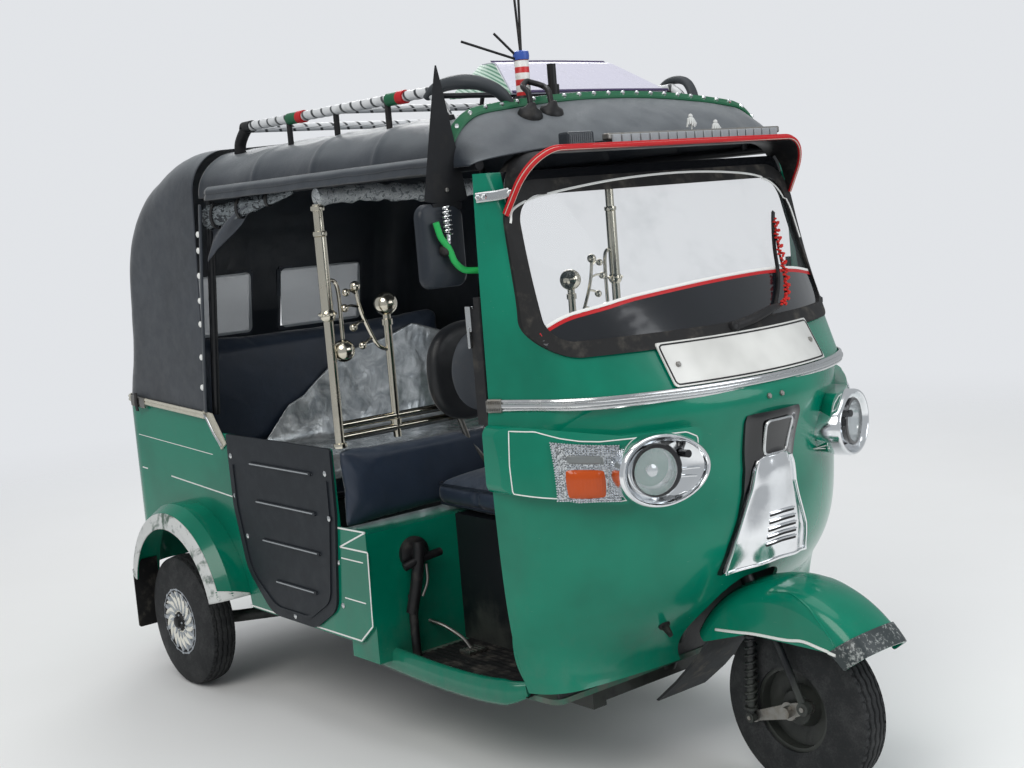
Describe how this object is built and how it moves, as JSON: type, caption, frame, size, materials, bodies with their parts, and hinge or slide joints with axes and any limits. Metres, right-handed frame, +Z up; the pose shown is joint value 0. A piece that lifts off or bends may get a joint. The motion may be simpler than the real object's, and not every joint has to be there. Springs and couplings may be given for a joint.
{
  "type": "auto rickshaw",
  "caption": "Three-wheeled passenger auto rickshaw with a pressed steel nose, canvas canopy, open cab, steered front wheel and hinged engine hatch.",
  "frame": {"origin": "on the ground, at the middle of the vehicle in length and width", "axes": "+X forward, +Y to the vehicle's left, +Z up"},
  "size_m": [2.6826, 1.3, 2.0602],
  "materials": {
    "paint_green": "emerald green gloss paint",
    "chassis_black": "black chassis paint",
    "chrome": "bright chrome",
    "black_plastic": "satin black",
    "grey_plastic": "satin grey",
    "white_panel": "white paint",
    "rubber": "black rubber",
    "tyre": "worn black tyre",
    "glass": "clear laminated glass",
    "lens": "clear lens",
    "amber_lens": "amber lens",
    "rexine": "dark slate coated cloth",
    "clear_sheet": "clouded clear sheet",
    "seat_vinyl": "dark vinyl",
    "alloy": "cast and machined alloy",
    "steel": "zinc plated steel",
    "roof_fitting": "shiny white wrap"
  },
  "bodies": {
    "body": {"antenna": "black_plastic", "apron": "seat_vinyl", "belt_strip": "chrome", "cabin_floor": "chassis_black", "chassis_frame": "chassis_black", "driver_floor": "paint_green", "driver_seat": "seat_vinyl", "engine_block": "alloy", "front_cowl": "paint_green", "headlamps": "lens", "indicators": "amber_lens", "lamp_bar": "steel", "lamp_bezels": "chrome", "lamp_pods": "paint_green", "mirror": "grey_plastic", "nose_panel": "black_plastic", "nose_shield": "chrome", "number_plate": "white_panel", "partition_panel": "seat_vinyl", "partition_posts": "chrome", "passenger_bench": "seat_vinyl", "rear_arms": "chassis_black", "rear_bumper": "chassis_black", "rear_canopy": "rexine", "rear_fenders": "paint_green", "rear_mudflaps": "rubber", "rear_panel": "paint_green", "rear_panes": "clear_sheet", "roof_canopy": "rexine", "roof_frame": "chassis_black", "roof_rack": "roof_fitting", "seat_box": "paint_green", "seat_pedestal": "chassis_black", "side_guard": "black_plastic", "side_panels": "paint_green", "tail_lamps": "amber_lens", "visor": "black_plastic", "windscreen_glass": "glass", "windscreen_seal": "rubber", "windscreen_surround": "paint_green"},
    "steering": {"front_fork": "chassis_black", "front_fender": "paint_green", "fender_tip": "grey_plastic", "front_mudflap": "rubber", "suspension_link": "steel", "spring_damper": "steel", "handlebar": "black_plastic"},
    "front_wheel": {"front_tyre": "tyre", "front_rim": "steel"},
    "rear_wheel_right": {"rear_tyre_right": "tyre", "rear_rim_right": "steel"},
    "rear_wheel_left": {"rear_tyre_left": "tyre", "rear_rim_left": "steel"},
    "hatch": {"engine_hatch": "paint_green"}
  },
  "joints": [
    {"name": "steering_turn", "type": "hinge", "parent": "body", "child": "steering", "pos_m": [1.1522, 0, 0], "axis": [-0.4067, 0, 0.9135], "range_deg": [-45, 45]},
    {"name": "front_wheel_spin", "type": "hinge", "parent": "steering", "child": "front_wheel", "pos_m": [1.0922, 0, 0.207], "axis": [0, 1, 0], "continuous": true},
    {"name": "rear_wheel_right_spin", "type": "hinge", "parent": "body", "child": "rear_wheel_right", "pos_m": [-0.9078, -0.562, 0.207], "axis": [0, 1, 0], "continuous": true},
    {"name": "rear_wheel_left_spin", "type": "hinge", "parent": "body", "child": "rear_wheel_left", "pos_m": [-0.9078, 0.562, 0.207], "axis": [0, 1, 0], "continuous": true},
    {"name": "hatch_swing", "type": "hinge", "parent": "body", "child": "hatch", "pos_m": [-1.3308, 0, 0.705], "axis": [0, 1, 0], "range_deg": [0, 75]}
  ]
}
